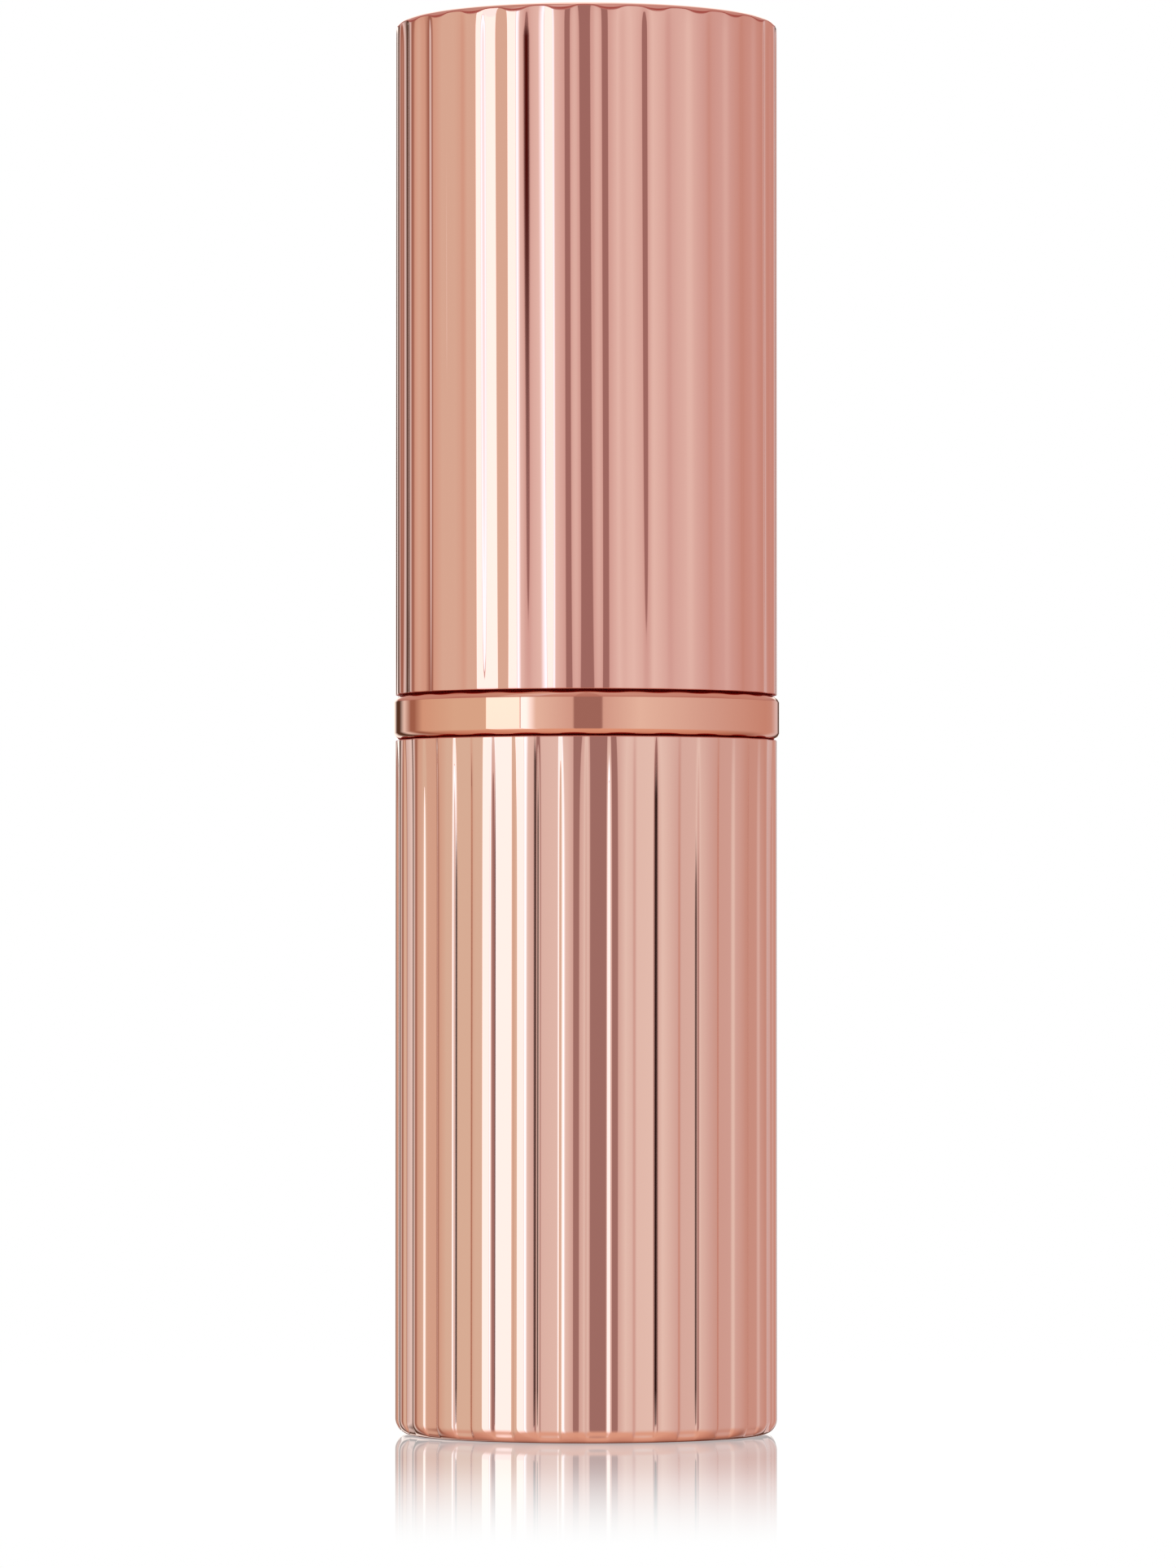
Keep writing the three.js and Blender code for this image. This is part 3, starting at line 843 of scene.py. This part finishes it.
# %% The handling group
def handling_group():
    """Waves stretched along the piece, fine scratches and sparse specks, from Object coordinates."""
    group, tree, given, result = new_group(
        "handling",
        [
            ("Vector", VECTOR, None),
            ("Wave Size", FLOAT, 200.0),
            ("Scratch Size", FLOAT, 1500.0),
            ("Speck Amount", FLOAT, 0.5),
        ],
        [("Waves", FLOAT, None), ("Scratches", FLOAT, None), ("Specks", FLOAT, None)],
    )
    waves = tree.noise(tree.stretched(given.outputs[0], (1.0, 1.0, 0.12)), given.outputs[1], 2.0)
    hairs = tree.noise(tree.stretched(given.outputs[0], (1.0, 1.0, 0.02)), given.outputs[2], 3.0)
    scratches = tree.between(hairs, 0.58, 0.72)
    cells = tree.add("ShaderNodeTexVoronoi", {"Vector": given.outputs[0], "Scale": 260.0})
    dot = tree.between(cells.outputs["Distance"], 0.10, 0.04)
    chosen = tree.math("GREATER_THAN", given.outputs[3], cells.outputs["Color"])
    specks = tree.math("MULTIPLY", dot, chosen)
    for label, socket in (("Waves", waves), ("Scratches", scratches), ("Specks", specks)):
        tree.tree.links.new(socket, result.inputs[label])
    return group


HANDLING = handling_group()


def handled(tree, wave_size, scratch_size, speck_amount):
    """Places the handling group in a material and returns its three outputs."""
    place = tree.add("ShaderNodeTexCoord").outputs["Object"]
    node = tree.add("ShaderNodeGroup", node_tree=HANDLING)
    tree.tree.links.new(place, node.inputs[0])
    for index, value in ((1, wave_size), (2, scratch_size), (3, speck_amount)):
        node.inputs[index].default_value = value
    return node.outputs[0], node.outputs[1], node.outputs[2]


# %% [markdown]
# ## Polished rose gold
# The shells are aluminium under a tinted lacquer, and the three visible parts took the tint a
# little differently: the ring is the most orange, the cap pinker, the base palest. The metal's
# colour carries painted shade from two values of the mesh: deep red in the joints and nearly
# black in the creases.
# Roughness stays very low, as the reflections in such a case are sharp.


# %% Rose gold
# Painted shade: the deep red the metal is given where it faces into a joint or runs along the shoulder
# ridge
SEAM_SHADE_RED = (0.52, 0.035, 0.018)


def rose_gold(name, colour, crease_shade_colour, roughness, wave_height):
    """A polished, tinted metal with faint waves and scratches, and painted shade in joints and creases.
    """
    material, tree, shader = new_material(name)
    waves, scratches, specks = handled(tree, 500.0, 2600.0, 0.02)
    crease_shade = tree.add("ShaderNodeAttribute", attribute_name="crease_shade").outputs["Fac"]
    seam_shade = tree.add("ShaderNodeAttribute", attribute_name="seam_shade").outputs["Fac"]
    dark = tree.mix(tree.math("MULTIPLY", specks, 0.5), (*colour, 1), (0.35, 0.15, 0.1, 1))
    # Painted shade: joints in deep red, then creases nearly black
    seam_shaded = tree.mix(seam_shade, dark, (*SEAM_SHADE_RED, 1))
    crease_shaded = tree.mix(crease_shade, seam_shaded, (*crease_shade_colour, 1))
    dull = tree.math("MAXIMUM", seam_shade, crease_shade)
    rough = tree.math("ADD", tree.math("MULTIPLY", scratches, 0.02), roughness)
    rough = tree.math("ADD", rough, tree.math("MULTIPLY", dull, 0.5), clamp=True)
    tree.finish(shader, crease_shaded, rough, waves, wave_height, metallic=1.0)
    return material


# Painted shade: the nearly black colours of the creases on the base and the cap
CREASE_SHADE_BROWN = (0.025, 0.004, 0.003)
CREASE_SHADE_RED = (0.11, 0.008, 0.005)
base_metal = rose_gold("rose_gold_base", (0.86, 0.585, 0.49), CREASE_SHADE_BROWN, 0.01, 0.0008 * MM)
cap_metal = rose_gold("rose_gold_cap", (0.86, 0.54, 0.46), CREASE_SHADE_RED, 0.01, 0.0008 * MM)
ring_metal = rose_gold("rose_gold_ring", (0.86, 0.515, 0.385), CREASE_SHADE_RED, 0.01, 0.0005 * MM)


# %% [markdown]
# ## The other finishes
# The sleeve is the same tinted metal, less polished, with faint rings left by the lathe. The
# weight is zinc-plated steel with plainer turning marks. The plastics are white and slightly
# waxy, each with a little scattering. The bullet is satin wax with a soft bloom, and the label
# is plain white film.


# %% Sleeve and weight: turned metals
def turned_metal(name, colour, roughness, ring_size, ring_height):
    """A metal with fine rings round the axis, made from bands of noise in height only."""
    material, tree, shader = new_material(name)
    waves, scratches, _ = handled(tree, 90.0, 1800.0, 0.0)
    place = tree.add("ShaderNodeTexCoord").outputs["Object"]
    rings = tree.noise(tree.stretched(place, (0.04, 0.04, 1.0)), ring_size, 4.0)
    tone = tree.mix(tree.between(waves, 0.3, 0.7), (*colour, 1), (*(0.94 * c for c in colour), 1))
    rough = tree.math("ADD", tree.math("MULTIPLY", rings, 0.08), roughness)
    rough = tree.math("ADD", tree.math("MULTIPLY", scratches, 0.05), rough)
    tree.finish(shader, tone, rough, rings, ring_height, metallic=1.0)
    return material


sleeve_metal = turned_metal("bright_sleeve", (0.88, 0.60, 0.48), 0.06, 3500.0, 0.0015 * MM)
weight_metal = turned_metal("plated_steel", (0.62, 0.63, 0.64), 0.24, 1400.0, 0.006 * MM)


# %% Plastics, silicone, wax and film
def moulded(name, colour, roughness, grain_size, grain_height, scatter=0.0, scatter_reach=1.0):
    """A moulded or cast surface: a fine grain, faint clouding and some scattering inside."""
    material, tree, shader = new_material(name)
    waves, scratches, specks = handled(tree, 140.0, 1500.0, 0.01)
    place = tree.add("ShaderNodeTexCoord").outputs["Object"]
    grain = tree.noise(place, grain_size, 5.0)
    shade = tuple(0.93 * c for c in colour)
    tone = tree.mix(tree.between(waves, 0.3, 0.75), (*colour, 1), (*shade, 1))
    tone = tree.mix(tree.math("MULTIPLY", specks, 0.3), tone, (*(0.6 * c for c in colour), 1))
    rough = tree.math("ADD", tree.math("MULTIPLY", grain, 0.16), roughness - 0.08)
    rough = tree.math("ADD", tree.math("MULTIPLY", scratches, 0.06), rough)
    tree.finish(shader, tone, rough, grain, grain_height)
    shader.inputs["Subsurface Weight"].default_value = scatter
    shader.inputs["Subsurface Scale"].default_value = scatter_reach * MM
    return material


white_plastic = moulded("white_plastic", (0.86, 0.84, 0.80), 0.32, 900.0, 0.006 * MM, 0.15)
slip_plastic = moulded("slip_plastic", (0.80, 0.78, 0.74), 0.42, 1200.0, 0.008 * MM, 0.1)
silicone = moulded("silicone", (0.62, 0.60, 0.57), 0.6, 1500.0, 0.006 * MM, 0.2)
wax = moulded("satin_wax", (0.52, 0.105, 0.115), 0.34, 700.0, 0.010 * MM, 0.25, 0.8)
film = moulded("label_film", (0.88, 0.87, 0.84), 0.5, 2200.0, 0.004 * MM)

# %% [markdown]
# ## Dressing the pieces
# Each new piece gets its material, rides on its CAD body and stands for its CAD node. The two
# moulded inner pieces that are never seen keep their CAD shape and only get a finish.

# %% Material, body, a finish name that nothing reads, and the node each piece stands for
DRESSING = [
    (fluted_base, base_metal, "base", "rose_gold_shell", "base_shell"),
    (fluted_cap, cap_metal, "cap", "rose_gold_shell", "cap_shell"),
    (smooth_ring, ring_metal, "sleeve", "rose_gold_ring", "collar_ring"),
    (bright_sleeve, sleeve_metal, "sleeve", "bright_tube", "sleeve_tube"),
    (wax_bullet, wax, "carrier", "lipstick_wax", "lipstick_bullet"),
    (bullet_cup, white_plastic, "carrier", "carrier_plastic", "carrier_cup"),
    (cap_lining, white_plastic, "cap", "white_liner", "cap_liner"),
    (base_lining, white_plastic, "base", "white_liner", "base_liner"),
    (ring_core, white_plastic, "sleeve", "white_liner", "collar_core"),
    (foot_weight, weight_metal, "base", "weight_steel", "base_weight"),
    (foot_label, film, "base", "label_paper", "base_label"),
    (drag_ring, silicone, "base", "silicone_ring", "brake_ring"),
]
for piece, material, body, finish, node in DRESSING:
    piece.data.materials.clear()
    piece.data.materials.append(material)
    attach(piece, body)
    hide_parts(node)
for node in ("slotted_tube", "cam_sleeve"):
    nodes[node].data.materials.clear()
    nodes[node].data.materials.append(slip_plastic)
print(len(DRESSING), "pieces dressed")

# %% [markdown]
# ## The studio
# Polished metal shows the studio itself. Seen from the case, the room is a ring of upright
# panels: a tall white light front left, salmon card beside it, a dark gap straight ahead where
# the camera looks in, pale to rose card on the right, and black flags and white edges behind, which
# draw the outline of the case. The world is made of these panels by direction. Left and right
# of the viewer each get one band of card, given as (degrees round from the viewer, light), and
# the light runs evenly from each place to the next. The key light, a little warmer at its foot,
# and the thin slit beside it are laid over them with crisp edges.

# %% Cards and panels, as seen from the case
WHITE_EDGE = (1.25, 1.22, 1.18)
GLARE = (1.4, 1.8, 2.2)
PALE = (0.9, 0.85, 0.85)
SALMON = (0.75, 0.6, 0.6)
WARM = (0.8, 0.7, 0.6)
TAN = (0.75, 0.55, 0.45)
ROSE = (0.65, 0.4, 0.35)
GAP = (0.4, 0.25, 0.25)
SHADE = (0.4, 0.2, 0.15)
FLAG = (0.1, 0.05, 0.03)
LEFT_CARD = [
    (0, GAP), (7, GAP), (8, SALMON), (30, PALE), (36, GLARE), (40, GLARE), (62, WARM),
    (85, WARM), (115, TAN), (125, SHADE), (130, SHADE), (140, PALE), (149, FLAG), (157, FLAG),
    (165, WHITE_EDGE),
]
RIGHT_CARD = [
    (0, GAP), (9, GAP), (10, SALMON), (32, PALE), (80, SALMON), (135, ROSE), (145, ROSE),
    (156, SALMON), (161, SALMON), (166, FLAG), (171, FLAG), (175, WHITE_EDGE),
]
KEY_LIGHT = (-62, -40, (1.45, 1.65, 1.75))
KEY_LOW = (1.45, 1.5, 1.65)
KEY_SLIT = (-40, -39.4, SALMON)
CARD_TOP = (8.0, 10.5)  # degrees up
CARDS_AGAIN = (32.0, 45.0, 0.0, 0.25)  # degrees up, and the share of card mixed into the sky
SIDES = (0.50, 0.62)  # share of the way round to the back
BACK = (0.88, 0.93)
BACK_LOW = (0.92, 0.97)
FRONT_ABOVE = [
    (0, (0.55, 0.30, 0.29)), (30, (0.55, 0.30, 0.29)), (45, (0.58, 0.34, 0.32)),
    (90, (0.70, 0.45, 0.43)),
]
SIDE_ABOVE = [
    (0, (0.45, 0.24, 0.22)), (12, (0.50, 0.27, 0.25)), (18, (0.60, 0.36, 0.33)),
    (90, (0.70, 0.45, 0.43)),
]
BACK_ABOVE = [
    (0, WHITE_EDGE), (55, (1.20, 1.12, 1.05)), (70, (0.90, 0.74, 0.68)), (90, (0.70, 0.45, 0.43)),
]
BELOW = [
    (0, (0.85, 0.56, 0.45)), (60, (0.82, 0.52, 0.41)), (90, (0.72, 0.42, 0.33)),
    (107, (0.66, 0.36, 0.28)), (118, (0.57, 0.30, 0.23)), (130, (0.46, 0.22, 0.16)),
    (145, (0.20, 0.06, 0.04)), (180, (0.10, 0.02, 0.01)),
]


def studio_world():
    """A world whose light depends on direction: cards and panels round the case up to 8 degrees,
    a sky above them for the front, the sides and the back, with a little of the cards mixed in
    higher up, and below them a salmon glow that darkens from front to back, by the angle through
    straight down, for the round of the foot."""
    world = bpy.data.worlds.new("studio")
    world.use_nodes = True
    world.node_tree.nodes.clear()
    tree = Tree(world.node_tree)
    way = tree.add("ShaderNodeTexCoord").outputs["Generated"]
    axes = tree.add("ShaderNodeSeparateXYZ", {0: way}).outputs
    toward = tree.math("MULTIPLY", axes[1], -1.0)
    turn = tree.math("MULTIPLY", tree.math("ARCTAN2", axes[0], toward), 180 / math.pi)
    share = tree.math("DIVIDE", tree.math("ABSOLUTE", turn), 180.0)
    left = tree.ramp(share, [(angle / 180, light) for angle, light in LEFT_CARD])
    right = tree.ramp(share, [(angle / 180, light) for angle, light in RIGHT_CARD])
    around_case = tree.mix(tree.math("GREATER_THAN", turn, 0.0), left, right)
    lift = tree.math("MULTIPLY", tree.math("ARCSINE", axes[2]), 180 / math.pi)
    key = tree.mix(tree.between(lift, 1.2, 2.2), (*KEY_LOW, 1), (*KEY_LIGHT[2], 1))
    for low, high, light in ((*KEY_LIGHT[:2], key), (*KEY_SLIT[:2], (*KEY_SLIT[2], 1))):
        inside = tree.math(
            "MULTIPLY",
            tree.between(turn, low - 0.15, low + 0.15),
            tree.between(turn, high + 0.15, high - 0.15),
        )
        around_case = tree.mix(inside, around_case, light)
    height = tree.math("DIVIDE", lift, 90.0)
    front, side, back = [
        tree.ramp(height, [(angle / 90, light) for angle, light in sky])
        for sky in (FRONT_ABOVE, SIDE_ABOVE, BACK_ABOVE)
    ]
    above = tree.mix(tree.between(share, *SIDES), front, side)
    above = tree.mix(tree.between(share, *BACK), above, back)
    above = tree.mix(tree.between(lift, *CARDS_AGAIN), above, around_case)
    room = tree.mix(tree.between(lift, *CARD_TOP), around_case, above)
    dip = tree.math("ARCTAN2", tree.math("MULTIPLY", axes[2], -1.0), toward)
    below = tree.ramp(tree.math("DIVIDE", dip, math.pi), [(a / 180, light) for a, light in BELOW])
    low = tree.between(lift, -15.0, -45.0, 0.0, 0.97)
    low_back = tree.math("MULTIPLY", tree.between(lift, -4.5, -7.0), tree.between(share, *BACK_LOW))
    room = tree.mix(tree.math("MAXIMUM", low, low_back), room, below)
    rays = tree.add("ShaderNodeLightPath").outputs
    plain = tree.math("MAXIMUM", rays["Is Camera Ray"], rays["Is Diffuse Ray"])
    seen = tree.mix(plain, room, (1, 1, 1, 1))
    light = tree.add("ShaderNodeBackground", {"Color": seen, "Strength": 1.0})
    tree.add("ShaderNodeOutputWorld", {"Surface": light.outputs[0]})
    return world


bpy.context.scene.world = studio_world()
bpy.context.scene.view_settings.view_transform = "Standard"
print(len(LEFT_CARD), "and", len(RIGHT_CARD), "stops round the studio")

# %% [markdown]
# ### Soft lamps
# The polished metal needs nothing more, but plastic and wax need light with a direction. Two
# large soft lamps do that, and stay out of mirror reflections.


# %% Lamps
def lamp(name, place, size, power):
    """A square soft lamp that looks at the middle of the case."""
    data = bpy.data.lights.new(name, "AREA")
    data.size = size
    data.energy = power
    made = bpy.data.objects.new(name, data)
    made.location = place
    middle = np.array([0, 0, (CAD_LOW.z + CAD_HIGH.z) / 2])
    aim = middle - np.array(place)
    made.rotation_euler = (
        math.atan2(math.hypot(aim[0], aim[1]), -aim[2]), 0, math.atan2(aim[0], -aim[1]) + math.pi,
    )
    made.visible_glossy = False
    made.visible_camera = False
    bpy.context.scene.collection.objects.link(made)
    return made


lamp("key_lamp", (-0.35, -0.35, 0.35), 0.25, 1.2)
lamp("back_lamp", (0.3, 0.35, 0.4), 0.3, 0.8)

# %% [markdown]
# ## The floor
# White gloss acrylic. It is bright enough to merge with the backdrop, and mirrors the case
# near it; the mirror image fades with distance from the foot, as it does where the light
# washes it out. The gloss grows towards a grazing view, so the mirror is weak from above.
# The metal doesn't mirror the floor: under the case it sees the warm glow of the world.


# %% Floor
def floor_material():
    """White light mixed with a mirror. The mirror's share is Fresnel times a fade by distance
    from the axis; the white is a little greyer near the foot, a painted contact shadow."""
    material = bpy.data.materials.new("white_acrylic")
    material.use_nodes = True
    material.node_tree.nodes.clear()
    tree = Tree(material.node_tree)
    place = tree.add("ShaderNodeTexCoord").outputs["Object"]
    flat = tree.stretched(place, (1, 1, 0))
    far = tree.add("ShaderNodeVectorMath", {0: flat}, operation="LENGTH").outputs["Value"]
    near = tree.between(far, 12 * MM, 26 * MM, 0.8, 1.0)
    fade = tree.math("MULTIPLY", near, tree.between(far, 20 * MM, 90 * MM, 0.65, 0.0))
    # Painted contact shadow: the floor's white light is greyer near the foot
    white = tree.between(far, 15 * MM, 50 * MM, 0.8, 1.0)
    gloss = tree.add("ShaderNodeFresnel", {"IOR": 1.5}).outputs[0]
    amount = tree.math("MULTIPLY", tree.between(gloss, 0.0, 0.72), fade, clamp=True)
    glow = tree.add("ShaderNodeEmission", {"Color": white, "Strength": 1.0}).outputs[0]
    mirror = tree.add("ShaderNodeBsdfGlossy", {"Color": (1, 1, 1, 1), "Roughness": 0.0}).outputs[0]
    both = tree.add("ShaderNodeMixShader", {0: amount, 1: glow, 2: mirror}).outputs[0]
    tree.add("ShaderNodeOutputMaterial", {"Surface": both})
    return material


HALF_FLOOR = 4.0
corners = np.array([[-1, -1, 0], [1, -1, 0], [1, 1, 0], [-1, 1, 0]]) * HALF_FLOOR
corners[:, 2] = CAD_LOW.z
floor_mesh = bpy.data.meshes.new("floor")
floor_mesh.from_pydata(corners, [], [(0, 1, 2, 3)])
floor = bpy.data.objects.new("floor", floor_mesh)
bpy.context.scene.collection.objects.link(floor)
floor.data.materials.append(floor_material())
floor.visible_glossy = False

# %% [markdown]
# ## The camera
# A long lens, a third of the way up the case, tipped up by a degree or so. The case stands just
# left of the middle of the picture.

# %% Camera
DISTANCE = 447 * MM
EYE_HEIGHT = 25.1 * MM
TIP = 1.349
camera_data = bpy.data.cameras.new("camera")
camera_data.sensor_fit = "VERTICAL"
camera_data.sensor_height = 36
camera_data.lens = 186.8
camera_data.clip_end = 20
camera = bpy.data.objects.new("camera", camera_data)
camera.location = (0.09 * MM, -DISTANCE, EYE_HEIGHT)
camera.rotation_euler = (math.radians(90 + TIP), 0, 0)
bpy.context.scene.collection.objects.link(camera)
bpy.context.scene.camera = camera
